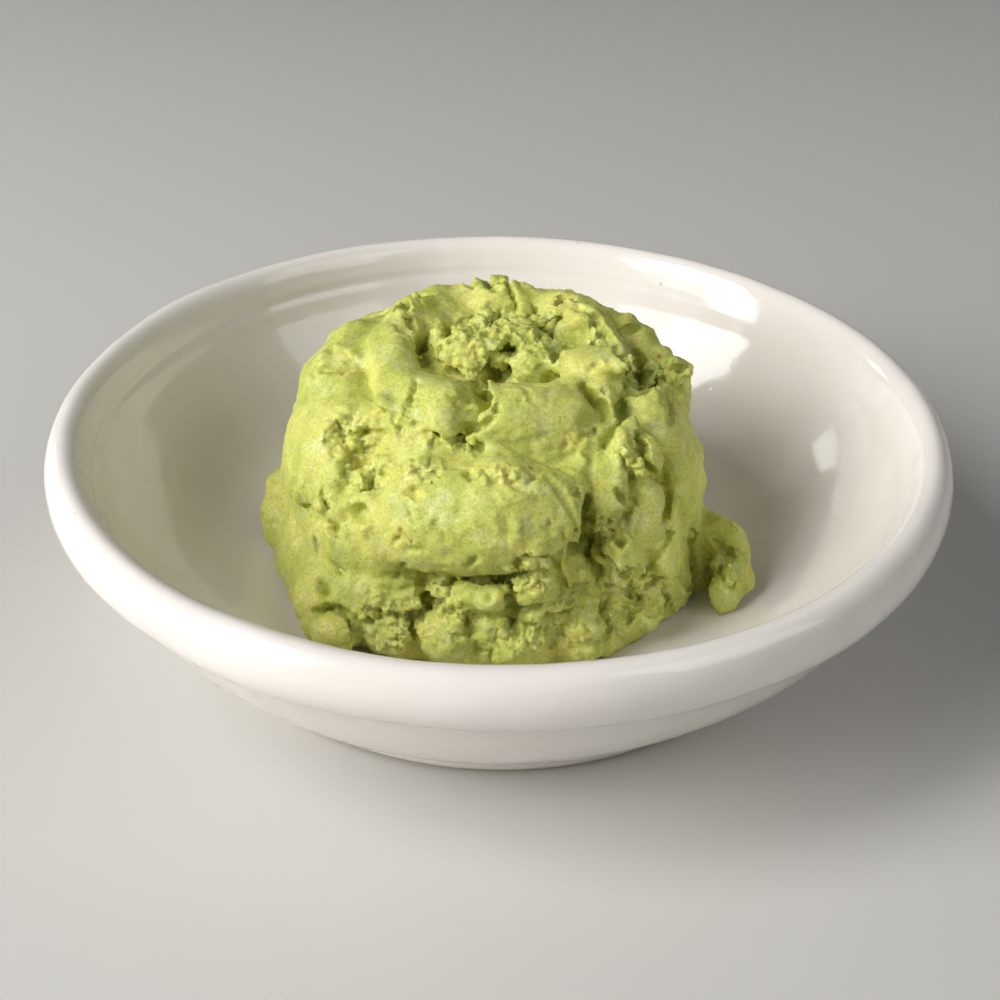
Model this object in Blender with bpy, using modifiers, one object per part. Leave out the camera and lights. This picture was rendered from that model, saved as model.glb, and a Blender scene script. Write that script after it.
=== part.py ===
"""A mound of grated wasabi paste in a small glazed porcelain dish.

Frame: +Z up, origin at the middle of the foot ring's footprint, on the surface that the dish stands on.
+X is the side with the small curl of paste, and -Y is the front, where the broad lobe hangs over the
lower folds. The tables below are in millimetres, and MM turns them to Blender's metres.
"""

import math
import random

import bmesh
import bpy
import numpy as np
from mathutils import Matrix, Vector, noise
from mathutils.bvhtree import BVHTree

MM = 0.001

# Driving dimensions of the dish, in millimetres.
DISH_DIAMETER = 80.0
DISH_HEIGHT = 20.4
RIM_HALF_WIDTH = 1.75
RIM_HALF_HEIGHT = 2.7
FOOT_OUTER_RADIUS = 26.7
FOOT_WIDTH = 3.4
FOOT_RECESS = 1.2
TURNING_STEPS = 72

# The inside of the dish from its middle outwards: a nearly flat floor, a turn, and a steeper wall.
INSIDE = [(0, 4.0), (8, 4.0), (14, 4.2), (19, 4.6), (23, 5.2), (26.6, 6.2), (29.4, 7.5), (31.6, 9.3),
          (33.4, 11.6), (34.9, 14.1), (36.1, 16.4)]
# The outside from under the rim down to the foot.
OUTSIDE = [(38.4, 14.9), (37.9, 14.2), (36.8, 12.3), (35.2, 9.6), (33.2, 7.0), (30.2, 4.3), (27.7, 2.2)]

# The paste: how far it stands off the glaze, how finely it is modelled and how many triangles it keeps.
PASTE_GAP = 0.3
VOXEL = 0.42
PASTE_TRIANGLES = 9400
SEED = 7

# The core that the lumps sit on, as (radius, height), and how far its middle is moved.
CORE = [(0, 3.0), (18.8, 3.0), (19.0, 6.0), (18.6, 10.0), (18.0, 14.0), (17.2, 18.0), (16.2, 20.6),
        (14.2, 22.8), (12.0, 23.6), (8.0, 23.2), (0, 22.0)]
CORE_OFFSET = (-0.3, 1.0)

# Lumps of paste: (around, out, height, (radial, across, tall), lean). Around is in degrees from +X,
# out is the middle's distance from the axis, the three sizes are half-lengths, and lean turns the lump
# about its own radial line, in degrees.
LUMPS = {
    "front_lobe_left": (-134, 12.4, 13.8, (7.8, 8.0, 6.6), 14),
    "left_face": (-163, 11.0, 14.4, (8.8, 8.8, 9.6), 0),
    "left_shoulder": (166, 10.7, 18.8, (7.7, 9.4, 7.2), 0),
    "left_foot": (-154, 15.2, 6.6, (6.2, 7.8, 6.6), 0),
    "left_foot_front": (-137, 16.2, 6.8, (5.6, 5.4, 4.8), 0),
    "crumb_ball": (-132, 20.9, 6.9, (2.5, 2.3, 2.2), 0),
    "under_lobe_left": (-120, 14.4, 10.6, (5.2, 4.2, 3.2), -10),
    "under_lobe_middle": (-99, 14.4, 11.6, (4.9, 4.4, 2.3), -8),
    "under_lobe_right": (-79, 13.8, 12.2, (5.5, 3.4, 3.2), 24),
    "lower_rock": (-101, 15.6, 6.6, (4.9, 3.4, 4.0), 20),
    "lower_left_rock": (-115, 16.2, 6.4, (4.4, 3.0, 4.0), -14),
    "lower_front": (-87, 15.2, 6.2, (5.3, 3.8, 4.4), 0),
    "lower_right": (-70, 14.6, 6.6, (5.2, 5.0, 4.6), 0),
    "fold_stack": (-74, 14.8, 10.4, (4.9, 5.0, 1.7), 16),
    "right_finger": (-58, 11.6, 18.8, (5.6, 2.2, 4.8), -12),
    "right_finger_outer": (-44, 12.2, 19.2, (5.5, 2.7, 4.6), -8),
    "right_finger_low": (-56, 13.3, 13.6, (5.4, 3.2, 4.0), 8),
    "right_block": (-44, 13.8, 12.0, (5.6, 3.6, 4.8), -10),
    "right_slab": (-22, 12.0, 14.4, (6.6, 5.4, 10.4), 4),
    "right_slab_foot": (-31, 14.2, 8.6, (5.0, 4.2, 4.6), 0),
    "right_corner": (0, 11.4, 21.0, (6.4, 4.6, 3.4), -14),
    "right_top": (30, 10.6, 22.2, (6.0, 4.2, 3.2), -8),
    "right_base": (-56, 15.6, 5.8, (4.2, 6.0, 3.2), 0),
    "right_base_outer": (-32, 15.2, 5.8, (4.4, 5.2, 3.0), 0),
    "right_side": (4, 12.0, 11.6, (6.9, 7.0, 8.8), 0),
    "back_right": (46, 10.6, 17.6, (8.0, 7.8, 7.2), 10),
    "back_right_foot": (32, 13.8, 7.6, (6.2, 7.0, 6.4), 0),
    "back": (88, 11.6, 17.6, (7.8, 8.4, 7.2), -6),
    "back_foot": (80, 14.6, 7.6, (6.2, 7.8, 6.4), 0),
    "back_left": (130, 10.8, 18.2, (8.2, 8.0, 7.0), 8),
    "back_left_foot": (128, 14.6, 7.6, (6.0, 7.4, 6.6), 0),
    "left_back_foot": (170, 14.2, 7.6, (6.2, 7.2, 7.0), 0),
}
LUMP_SQUARENESS = 2.4

# Rolls of paste, as (x, y, height, radius) along their length.
ROLLS = {
    "crater_front": [(-8.8, -4.6, 23.2, 2.8), (-5.6, -7.6, 23.2, 3.3), (-0.6, -8.8, 23.1, 3.7),
                     (4.4, -8.0, 23.0, 3.6), (8.2, -5.4, 23.0, 3.1)],
    "crater_left_tongue": [(-5.0, 9.6, 24.6, 2.1), (-8.6, 5.8, 24.4, 2.4), (-9.4, 0.6, 24.1, 2.6),
                           (-9.0, -4.6, 23.5, 2.6), (-7.8, -8.8, 22.6, 2.5)],
    "crater_right_roll": [(4.2, 10.0, 24.4, 2.2), (7.6, 6.2, 24.4, 2.7), (8.8, 1.0, 24.1, 2.9),
                          (8.8, -3.8, 23.6, 2.9), (8.2, -7.6, 22.8, 2.5)],
    "crater_back": [(-8.4, 9.2, 23.8, 2.5), (-4.0, 10.6, 24.1, 2.6), (1.0, 10.8, 24.1, 2.7),
                    (6.4, 9.8, 23.8, 2.6)],
    "crater_island": [(-3.4, 0.4, 23.0, 2.6), (-1.0, 2.4, 23.6, 2.7), (2.2, 1.8, 23.2, 2.6),
                      (3.4, -1.4, 22.8, 2.3)],
    "front_lobe": [(-13.4, -8.4, 15.6, 4.2), (-9.6, -11.8, 16.4, 4.5), (-5.2, -14.0, 17.2, 4.8),
                   (-0.6, -14.8, 17.7, 4.9), (3.4, -14.2, 17.8, 4.6), (5.8, -12.4, 18.0, 4.0)],
    "right_curl": [(17.4, -3.4, 9.2, 1.8), (19.4, -4.6, 9.8, 1.7), (21.2, -6.2, 8.9, 1.6),
                   (22.0, -8.0, 7.6, 1.5), (21.0, -9.8, 6.6, 1.5)],
    "right_curl_back": [(17.6, -3.4, 6.8, 1.8), (19.8, -4.8, 6.8, 1.8), (21.0, -6.6, 6.6, 1.6)],
    "left_flap": [(-18.0, 3.6, 10.8, 1.8), (-20.1, 1.8, 9.9, 2.0), (-20.6, -0.2, 7.7, 2.1),
                  (-19.6, -2.2, 6.0, 2.0)],
}

# Creases and cracks, as points along them on the skin: sides as (around, height), the top as (x, y).
# After the points come the half-width, the depth, and how far the upper edge hangs out over the lower.
SIDE_CREASES = {
    "under_cap": ([(-124, 23.2), (-116, 22.8), (-106, 22.6), (-98, 22.9)], 1.2, 2.4, 0.6),
    "under_cap_right": ([(-102, 22.9), (-90, 22.6), (-76, 22.2), (-60, 22.4)], 1.1, 1.0, 0.3),
    "under_front_lobe": ([(-114, 13.2), (-104, 13.0), (-96, 13.2), (-88, 13.8), (-80, 14.8), (-73, 16.0),
                          (-67, 17.4)], 1.3, 2.6, 1.0),
    "right_of_lobe": ([(-54, 23.6), (-57, 21.5), (-62, 19.5), (-66, 17.6), (-66, 15.4), (-62, 13.0)],
                      1.3, 2.6, 0.0),
    "lower_gap": ([(-119, 11.0), (-111, 10.4), (-107, 9.0), (-109, 6.6)], 1.2, 2.6, 0.4),
    "fold_line": ([(-94, 9.6), (-82, 9.6), (-70, 11.2), (-62, 12.6)], 0.9, 1.4, 0.5),
    "fold_line_low": ([(-86, 7.8), (-76, 8.2), (-66, 9.8)], 0.8, 1.2, 0.4),
    "block_split": ([(-78, 13.6), (-76, 11.8), (-76, 10.6)], 0.8, 1.0, 0.0),
    "slab_edge": ([(-36, 22.6), (-34, 19.0), (-36, 15.0), (-37, 11.0)], 1.0, 2.0, 0.0),
    "slab_split": ([(-30, 14.8), (-26, 13.0), (-28, 10.6)], 0.8, 1.3, 0.0),
    "finger_gap": ([(-51, 22.0), (-50, 19.0), (-52, 16.0)], 0.9, 1.8, 0.0),
    "finger_foot": ([(-64, 15.0), (-56, 15.6), (-48, 15.6)], 1.0, 1.5, 0.5),
    "block_foot": ([(-60, 9.6), (-50, 8.4), (-40, 7.4), (-30, 6.6)], 0.9, 1.5, 0.6),
    "left_split": ([(-146, 18.0), (-149, 15.4), (-146, 13.0)], 0.8, 1.1, 0.0),
    "left_low_split": ([(-140, 9.0), (-134, 8.2), (-132, 6.0)], 0.9, 1.6, 0.3),
    "left_back_split": ([(168, 19.0), (160, 16.0), (164, 12.0), (158, 8.0)], 1.0, 1.6, 0.0),
    "back_fold": ([(146, 14.5), (128, 13.6), (112, 15.0), (98, 14.2), (84, 12.6)], 1.3, 2.4, 0.9),
    "back_split": ([(98, 23.0), (94, 20.0), (99, 17.0), (96, 14.6)], 1.0, 2.0, 0.0),
    "back_low_fold": ([(120, 9.0), (104, 8.0), (88, 8.6), (70, 7.4)], 1.0, 1.7, 0.6),
    "back_right_fold": ([(62, 18.0), (48, 17.0), (34, 18.4), (22, 16.8)], 1.2, 2.2, 0.8),
    "back_right_split": ([(52, 16.0), (56, 12.6), (50, 9.4), (54, 6.6)], 0.9, 1.8, 0.0),
    "right_side_split": ([(14, 16.0), (9, 13.0), (12, 9.6), (6, 7.0)], 1.0, 1.8, 0.0),
}
TOP_CREASES = {
    "cap_split": ([(-2.4, -6.6), (-2.2, -8.8), (-2.8, -10.8), (-3.4, -12.6)], 1.0, 2.2),
    "cap_left_split": ([(-7.0, -8.6), (-6.6, -10.4), (-6.8, -12.4)], 0.8, 1.3),
    "cap_right_split": ([(7.6, -6.0), (8.0, -8.4), (8.6, -10.0)], 1.0, 2.0),
    "roll_outside": ([(7.4, 10.0), (10.8, 6.4), (12.4, 1.0), (12.2, -4.0), (11.0, -8.0)], 1.2, 2.2),
    "tongue_outside": ([(-9.6, 8.0), (-12.4, 3.4), (-12.6, -2.0), (-11.4, -6.0)], 1.5, 1.0),
    "corner_split": ([(12.6, 3.2), (14.6, 1.6), (17.0, 1.8)], 0.9, 1.5),
}

# Hollows torn in the skin, each with crumbs standing in it: the middle as (around, height) or as (x, y),
# the radius, the depth, and the count and half-size of its crumbs.
SIDE_HOLLOWS = {
    "left_hollow_top": ((-141, 21.6), 3.4, 2.0, 14, 0.9),
    "left_hollow": ((-131, 19.8), 3.6, 2.6, 16, 0.9),
    "left_hollow_low": ((-126, 18.6), 2.0, 1.6, 0, 0.8),
    "lobe_end": ((-66, 15.6), 2.0, 1.6, 4, 0.7),
    "under_right": ((-69, 13.4), 1.8, 1.6, 3, 0.6),
    "curl_inside": ((-27, 7.4), 1.7, 1.8, 3, 0.5),
}
TOP_HOLLOWS = {
    "crater_left": ((-6.4, 0.0), 2.2, 2.6, 0, 0.7),
    "crater_back_right": ((4.6, 4.4), 1.8, 2.0, 4, 0.7),
    "crater_right": ((5.4, -0.6), 1.6, 1.6, 4, 0.7),
    "crater_front": ((-0.4, -3.8), 1.6, 1.6, 4, 0.6),
    "crater_middle": ((-0.2, 0.8), 5.4, 0.0, 52, 1.0),
}

# Relief over the whole skin: a broad swell, and torn lumps and crumbs with sharp valleys between, as
# (grain, height).
SWELL = (8.0, 0.5)
TORN_LUMPS = [(5.0, 1.1), (2.4, 0.75), (1.3, 0.45)]
# Where the skin was smoothed by the spoon, as (x, y, z) and radius, and how much of the relief stays there.
SMOOTH_SPOTS = [((-19, -8, 17), 7), ((-15, -4, 23), 6), ((-4, -19, 18), 6.5), ((5, -18, 18), 4),
                ((-9, -4, 26), 4.5), ((9, 1, 27), 4.5), ((4, -12, 24), 4.5), ((-1, -12, 25), 3.5),
                ((16, -8, 16), 4)]
SMOOTH_SHARE = 0.3

# How torn edges wander: the size of their bends, and how far they stray as a share of the cut's own width.
CRACK_GRAIN, CRACK_STRAY = 1.6, 0.45
HOLLOW_GRAIN, HOLLOW_STRAY = 2.0, 0.35
# A cut widens the skin's slope this many half-widths out, where the edge above it leans out.
CRACK_REACH = 3
# Crumbs sink this share of their hollow's depth, and are this many times their named size.
CRUMB_SINK = 0.8
CRUMB_SIZES = (0.6, 1.3)
# Rays that look for the skin start this far out, and the skin is about this far from the axis.
RAY_START = 60
MOUND_RADIUS = 16


def rim_centre():
    return DISH_DIAMETER / 2 - RIM_HALF_WIDTH, DISH_HEIGHT - RIM_HALF_HEIGHT


def rim_arc():
    """The rolled rim: an upright oval from the inner wall, over the top, to the crease under its edge."""
    radius, height = rim_centre()
    angles = np.radians(np.arange(180, -68, -22.5))
    return [(radius + RIM_HALF_WIDTH * math.cos(a), height + RIM_HALF_HEIGHT * math.sin(a)) for a in angles]


def foot_profile():
    outer = FOOT_OUTER_RADIUS
    inner = outer - FOOT_WIDTH
    return [(outer + 0.2, 1.5), (outer + 0.1, 0.5), (outer - 0.3, 0.0), (inner + 0.3, 0.0),
            (inner, 0.3), (inner - 0.4, FOOT_RECESS), (0, FOOT_RECESS)]


def floor_height(radius):
    """Height of the glazed floor at a distance from the middle, both in millimetres."""
    return np.interp(radius, [r for r, _ in INSIDE], [z for _, z in INSIDE])


def new_object(name, mesh, material, collection):
    obj = bpy.data.objects.new(name, mesh)
    obj.data.materials.append(material)
    collection.objects.link(obj)
    return obj


def make_material(name, colour, roughness):
    material = bpy.data.materials.new(name)
    material.use_nodes = True
    surface = material.node_tree.nodes["Principled BSDF"]
    surface.inputs["Base Color"].default_value = (*colour, 1.0)
    surface.inputs["Roughness"].default_value = roughness
    surface.inputs["Metallic"].default_value = 0.0
    return material


def make_dish(collection):
    """The dish: one profile turned round the upright axis, from its floor over the rim to its base."""
    profile = INSIDE + rim_arc() + OUTSIDE + foot_profile()
    mesh = bpy.data.meshes.new("dish")
    edges = [(i, i + 1) for i in range(len(profile) - 1)]
    mesh.from_pydata([(r * MM, 0.0, z * MM) for r, z in profile], edges, [])
    dish = new_object("dish", mesh, make_material("glazed porcelain", (0.80, 0.77, 0.72), 0.25), collection)
    turn = dish.modifiers.new("turn", "SCREW")
    turn.axis = "Z"
    turn.steps = TURNING_STEPS
    turn.render_steps = TURNING_STEPS
    turn.use_merge_vertices = True
    turn.merge_threshold = 0.00001
    return dish


def spin_core(bm):
    dx, dy = CORE_OFFSET
    points = [bm.verts.new(((r + dx) * MM, dy * MM, z * MM)) for r, z in CORE]
    edges = [bm.edges.new(pair) for pair in zip(points, points[1:])]
    centre = (dx * MM, dy * MM, 0.0)
    bmesh.ops.spin(bm, geom=points + edges, cent=centre, axis=(0, 0, 1), angle=math.tau, steps=48,
                   use_merge=True)
    bmesh.ops.remove_doubles(bm, verts=bm.verts, dist=0.00001)
    bmesh.ops.recalc_face_normals(bm, faces=bm.faces)


def add_ball(bm, middle, radius):
    place = Matrix.Translation(Vector(middle) * MM) @ Matrix.Scale(radius * MM, 4)
    bmesh.ops.create_icosphere(bm, subdivisions=3, radius=1.0, matrix=place)


def add_lump(bm, around, out, height, half_sizes, lean):
    turn = Matrix.Rotation(math.radians(around), 4, "Z")
    middle = turn @ Vector((out * MM, 0.0, height * MM))
    tilt = Matrix.Rotation(math.radians(lean), 4, "X")
    size = Matrix.Diagonal((*(h * MM for h in half_sizes), 1.0))
    made = bmesh.ops.create_icosphere(bm, subdivisions=4, radius=1.0)["verts"]
    for vert in made:
        vert.co /= sum(abs(c) ** LUMP_SQUARENESS for c in vert.co) ** (1 / LUMP_SQUARENESS)
    bmesh.ops.transform(bm, matrix=Matrix.Translation(middle) @ turn @ tilt @ size, verts=made)


def spline_through(points, spacing):
    """Points at about the given spacing on a smooth curve through the given ones."""
    points = np.array(points, float)
    padded = np.vstack([2 * points[0] - points[1], points, 2 * points[-1] - points[-2]])
    found = []
    for before, start, end, after in zip(padded, padded[1:], padded[2:], padded[3:]):
        count = max(2, math.ceil(np.linalg.norm((end - start)[:3]) / spacing))
        for t in np.arange(count) / count:
            bend = (2 * before - 5 * start + 4 * end - after) * t**2
            twist = (3 * start - before - 3 * end + after) * t**3
            found.append(start + 0.5 * ((end - before) * t + bend + twist))
    found.append(points[-1])
    return np.array(found)


def add_roll(bm, path):
    for x, y, z, radius in spline_through(path, 0.6):
        add_ball(bm, (x, y, z), radius)


def apply_modifiers(obj):
    graph = bpy.context.evaluated_depsgraph_get()
    mesh = bpy.data.meshes.new_from_object(obj.evaluated_get(graph))
    obj.modifiers.clear()
    obj.data = mesh


def fuse(obj, smoothing):
    """Joins all that overlaps into one skin, and irons the joins a little."""
    remesh = obj.modifiers.new("fuse", "REMESH")
    remesh.mode = "VOXEL"
    remesh.voxel_size = VOXEL * MM
    if smoothing:
        smooth = obj.modifiers.new("iron", "SMOOTH")
        smooth.factor = 0.5
        smooth.iterations = smoothing
    apply_modifiers(obj)


class Skin:
    """The points of a mesh as arrays, in millimetres, for moving them."""

    def __init__(self, obj):
        self.mesh = obj.data
        flat = np.empty(len(self.mesh.vertices) * 3, np.float32)
        self.mesh.vertices.foreach_get("co", flat)
        self.points = flat.reshape(-1, 3) / MM
        faces = [tuple(face.vertices) for face in self.mesh.polygons]
        self.tree = BVHTree.FromPolygons(self.points.tolist(), faces)

    def on_side(self, around, height):
        way = Vector((math.cos(math.radians(around)), math.sin(math.radians(around)), 0.0))
        return self.tree.ray_cast(way * RAY_START + Vector((0, 0, height)), -way)[0]

    def on_top(self, x, y):
        return self.tree.ray_cast(Vector((x, y, RAY_START)), Vector((0, 0, -1)))[0]

    def write(self):
        self.mesh.vertices.foreach_set("co", (self.points * MM).astype(np.float32).ravel())
        self.mesh.update()


def rough(points, grain, seed):
    """Smooth noise from about -1 to 1 at each point, with features of about the grain's size."""
    shift = Vector((seed * 17.3, seed * 5.1, seed * 9.7))
    return np.array([noise.noise(Vector(p) / grain + shift) for p in points])


def carve(skin, route, inward, half_width, depth, overhang=0.0):
    """Cuts a crack with torn edges along a route on the skin.

    inward says which way it is cut at each point, and overhang how far the skin above it leans out over it.
    """
    route, inward = np.split(spline_through(np.hstack([route, inward]), 0.3), 2, axis=1)
    inward /= np.linalg.norm(inward, axis=1, keepdims=True)
    reach = CRACK_REACH * half_width
    near = ((skin.points > route.min(0) - reach) & (skin.points < route.max(0) + reach)).all(1)
    offset = skin.points[near, None] - route[None]
    apart = np.linalg.norm(offset, axis=2)
    closest = apart.argmin(1)
    apart = apart.min(1)
    ends = np.sqrt(np.sin(np.pi * np.linspace(0.06, 0.94, len(route))))[closest]
    torn = np.abs(apart + CRACK_STRAY * half_width * rough(skin.points[near], CRACK_GRAIN, 1))
    groove = depth * ends * np.clip(1 - torn / half_width, 0, 1) ** 0.8
    above = offset[np.arange(len(closest)), closest, 2] > 0.3 * half_width
    lip = overhang * ends * above * np.clip(1 - apart / reach, 0, 1)
    skin.points[near] += inward[closest] * (groove - lip)[:, None]
    skin.points[near, 2] -= 0.5 * lip


def cut_creases(obj):
    skin = Skin(obj)
    for points, half_width, depth, overhang in SIDE_CREASES.values():
        route = np.array([skin.on_side(*point) for point in points])
        carve(skin, route, -route * (1, 1, 0), half_width, depth, overhang)
    for points, half_width, depth in TOP_CREASES.values():
        route = np.array([skin.on_top(*point) for point in points])
        downward = np.array([(-x, -y, -2 * MOUND_RADIUS) for x, y, _ in route])
        carve(skin, route, downward, half_width, depth)
    skin.write()


def dent(skin, middle, inward, radius, depth):
    apart = np.linalg.norm(skin.points - np.array(middle), axis=1)
    apart *= 1 + HOLLOW_STRAY * rough(skin.points, HOLLOW_GRAIN, 2)
    amount = depth * np.clip(1 - (apart / radius) ** 2, 0, 1)
    skin.points += np.array(inward) * amount[:, None]


def scatter(draw, radius, count):
    """Random places in a disc, as (across, along, how far from the middle as a share)."""
    for _ in range(count):
        angle, share = draw.uniform(0, math.tau), math.sqrt(draw.uniform(0, 1))
        yield radius * share * math.cos(angle), radius * share * math.sin(angle), share


def tear_hollows(obj, draw):
    """Dents the skin at each hollow, and returns the crumbs that stand in them as (middle, size)."""
    skin = Skin(obj)
    crumbs = []
    for (around, height), radius, depth, count, size in SIDE_HOLLOWS.values():
        middle = skin.on_side(around, height)
        inward = -Vector((middle.x, middle.y, 0)).normalized()
        dent(skin, middle, inward, radius, depth)
        for across, along, share in scatter(draw, radius, count):
            spot = skin.on_side(around + math.degrees(across / MOUND_RADIUS), height + along)
            spot += inward * CRUMB_SINK * depth * (1 - share**2)
            crumbs.append((spot, size * draw.uniform(*CRUMB_SIZES)))
    for (x, y), radius, depth, count, size in TOP_HOLLOWS.values():
        dent(skin, skin.on_top(x, y), (0, 0, -1), radius, depth)
        for across, along, share in scatter(draw, radius, count):
            spot = skin.on_top(x + across, y + along)
            spot.z -= CRUMB_SINK * depth * (1 - share**2)
            crumbs.append((spot, size * draw.uniform(*CRUMB_SIZES)))
    skin.write()
    return crumbs


def add_crumbs(obj, crumbs):
    bm = bmesh.new()
    bm.from_mesh(obj.data)
    for middle, size in crumbs:
        add_ball(bm, middle, size)
    bm.to_mesh(obj.data)
    bm.free()


def add_relief(obj):
    skin = Skin(obj)
    normals = np.empty(len(skin.points) * 3, np.float32)
    skin.mesh.vertices.foreach_get("normal", normals)
    amount = SWELL[1] * rough(skin.points, SWELL[0], 5)
    for seed, (grain, height) in enumerate(TORN_LUMPS, 6):
        amount += height * (np.abs(rough(skin.points, grain, seed)) - 0.25)
    for middle, radius in SMOOTH_SPOTS:
        apart = np.linalg.norm(skin.points - np.array(middle), axis=1)
        amount *= 1 - (1 - SMOOTH_SHARE) * np.exp(-((apart / radius) ** 4))
    skin.points += normals.reshape(-1, 3) * amount[:, None]
    skin.write()


def keep_outer_skin(obj):
    """Drops every scrap and every sealed hollow: only the largest skin of joined faces stays."""
    bm = bmesh.new()
    bm.from_mesh(obj.data)
    unseen = set(bm.verts)
    skins = []
    while unseen:
        waiting = [unseen.pop()]
        skin = set(waiting)
        while waiting:
            for edge in waiting.pop().link_edges:
                for vert in edge.verts:
                    if vert in unseen:
                        unseen.remove(vert)
                        skin.add(vert)
                        waiting.append(vert)
        skins.append(skin)
    largest = max(skins, key=len)
    bmesh.ops.delete(bm, geom=[vert for vert in bm.verts if vert not in largest], context="VERTS")
    bm.to_mesh(obj.data)
    bm.free()


def seat_on_floor(obj):
    """Raises what is lower than the gap over the glazed floor, so the underside takes the floor's shape."""
    skin = Skin(obj)
    lowest = floor_height(np.hypot(skin.points[:, 0], skin.points[:, 1])) + PASTE_GAP
    skin.points[:, 2] = np.maximum(skin.points[:, 2], lowest)
    skin.write()


def thin_out(obj, triangles):
    now = sum(len(face.vertices) - 2 for face in obj.data.polygons)
    thin = obj.modifiers.new("thin", "DECIMATE")
    thin.ratio = triangles / now
    thin.use_collapse_triangulate = True
    apply_modifiers(obj)


def make_paste(collection):
    bm = bmesh.new()
    spin_core(bm)
    for around, out, height, half_sizes, lean in LUMPS.values():
        add_lump(bm, around, out, height, half_sizes, lean)
    for path in ROLLS.values():
        add_roll(bm, path)
    mesh = bpy.data.meshes.new("wasabi_paste")
    bm.to_mesh(mesh)
    bm.free()
    material = make_material("wasabi paste", (0.50, 0.52, 0.13), 0.7)
    paste = new_object("wasabi_paste", mesh, material, collection)
    fuse(paste, 3)
    cut_creases(paste)
    add_crumbs(paste, tear_hollows(paste, random.Random(SEED)))
    add_relief(paste)
    seat_on_floor(paste)
    fuse(paste, 1)
    keep_outer_skin(paste)
    thin_out(paste, PASTE_TRIANGLES)
    seat_on_floor(paste)
    paste.data.shade_smooth()
    return paste


def main():
    for obj in list(bpy.data.objects):
        bpy.data.objects.remove(obj)
    collection = bpy.data.collections.new("wasabi_in_dish")
    bpy.context.scene.collection.children.link(collection)
    make_dish(collection)
    make_paste(collection)


main()
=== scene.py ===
# %% [markdown]
# # Wasabi paste in a small dish
#
# A spoonful of freshly grated wasabi, pressed into a mound, sits in a small thick-rimmed porcelain dish.
# Two real things, so two pieces: the thrown and glazed dish, and the crumbly paste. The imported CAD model
# gives their size and place. This file gives them their finish.

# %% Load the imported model
import math

import bpy
import numpy as np
from mathutils import Matrix, Vector, noise
from mathutils.bvhtree import BVHTree
from mathutils.kdtree import KDTree


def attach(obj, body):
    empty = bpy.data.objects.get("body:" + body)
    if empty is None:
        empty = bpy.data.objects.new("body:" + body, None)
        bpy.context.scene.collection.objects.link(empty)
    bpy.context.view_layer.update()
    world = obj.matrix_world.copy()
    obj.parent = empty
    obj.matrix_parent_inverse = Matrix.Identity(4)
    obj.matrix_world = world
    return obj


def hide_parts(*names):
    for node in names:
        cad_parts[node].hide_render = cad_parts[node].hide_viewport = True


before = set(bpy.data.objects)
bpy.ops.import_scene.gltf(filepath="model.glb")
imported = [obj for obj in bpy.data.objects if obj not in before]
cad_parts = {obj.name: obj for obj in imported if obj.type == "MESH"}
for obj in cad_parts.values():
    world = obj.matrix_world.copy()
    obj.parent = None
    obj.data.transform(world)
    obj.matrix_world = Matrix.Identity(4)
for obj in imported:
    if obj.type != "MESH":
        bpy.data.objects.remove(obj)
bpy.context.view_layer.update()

MM = 0.001

# %% [markdown]
# ## The camera
#
# The dish is seen from the front at arm's length, looking down about a third of a right angle, with a
# slightly long lens so that the round rim stays a calm ellipse. It could be aimed with a Track To
# constraint. The turn is set from the angles instead, because a fixed matrix shows plainly what it is.

# %% Place the camera
# the place is given in millimetres, and the roll in radians
CAMERA_PLACE = Vector((0.0, -117.2, 84.0)) * MM
LOOK_DOWN = math.radians(32.37)
ROLL = 0.0156
LENS = 53.31
SHIFT_X = 0.0014


def place_camera():
    camera = bpy.data.objects.new("camera", bpy.data.cameras.new("camera"))
    bpy.context.scene.collection.objects.link(camera)
    camera.data.lens = LENS
    camera.data.sensor_width = 36
    camera.data.shift_x = SHIFT_X
    camera.data.clip_start = MM
    upright = Matrix.Rotation(math.pi / 2 - LOOK_DOWN, 4, "X")
    camera.matrix_world = Matrix.Translation(CAMERA_PLACE) @ upright @ Matrix.Rotation(ROLL, 4, "Z")
    bpy.context.scene.camera = camera


place_camera()
print("camera looks down", round(math.degrees(LOOK_DOWN), 1), "degrees through a", LENS, "mm lens")

# %% [markdown]
# ## Helpers for every piece
#
# A CAD node must stay as it is, so each piece starts from a copy of its mesh. The copy's loose triangles
# are merged to one skin before anything else, because modifiers would tear them apart along their edges.

# %% Copy a CAD node as one clean skin
MERGE_WITHIN = 0.001


def select_only(piece):
    bpy.ops.object.select_all(action="DESELECT")
    piece.select_set(True)
    bpy.context.view_layer.objects.active = piece


def copy_of_node(node, name):
    """A bare copy of a CAD node's mesh, as a piece of its own with its doubles merged."""
    piece = bpy.data.objects.new(name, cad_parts[node].data.copy())
    piece.data.materials.clear()
    bpy.context.scene.collection.objects.link(piece)
    select_only(piece)
    bpy.ops.object.mode_set(mode="EDIT")
    bpy.ops.mesh.select_all(action="SELECT")
    bpy.ops.mesh.remove_doubles(threshold=MERGE_WITHIN * MM)
    bpy.ops.object.mode_set(mode="OBJECT")
    return piece


def apply_modifier(piece, kind, **settings):
    """Adds a modifier of this kind with these settings and applies it."""
    select_only(piece)
    modifier = piece.modifiers.new(kind.lower(), kind)
    for setting, value in settings.items():
        setattr(modifier, setting, value)
    bpy.ops.object.modifier_apply(modifier=modifier.name)


def points_of(piece):
    """The piece's points in millimetres, as an array with a row for each."""
    flat = np.empty(len(piece.data.vertices) * 3, np.float32)
    piece.data.vertices.foreach_get("co", flat)
    return flat.reshape(-1, 3).astype(float) / MM


def normals_of(piece):
    flat = np.empty(len(piece.data.vertices) * 3, np.float32)
    piece.data.vertices.foreach_get("normal", flat)
    return flat.reshape(-1, 3).astype(float)


def set_points(piece, points):
    piece.data.vertices.foreach_set("co", (points * MM).astype(np.float32).ravel())
    piece.data.update()


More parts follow.
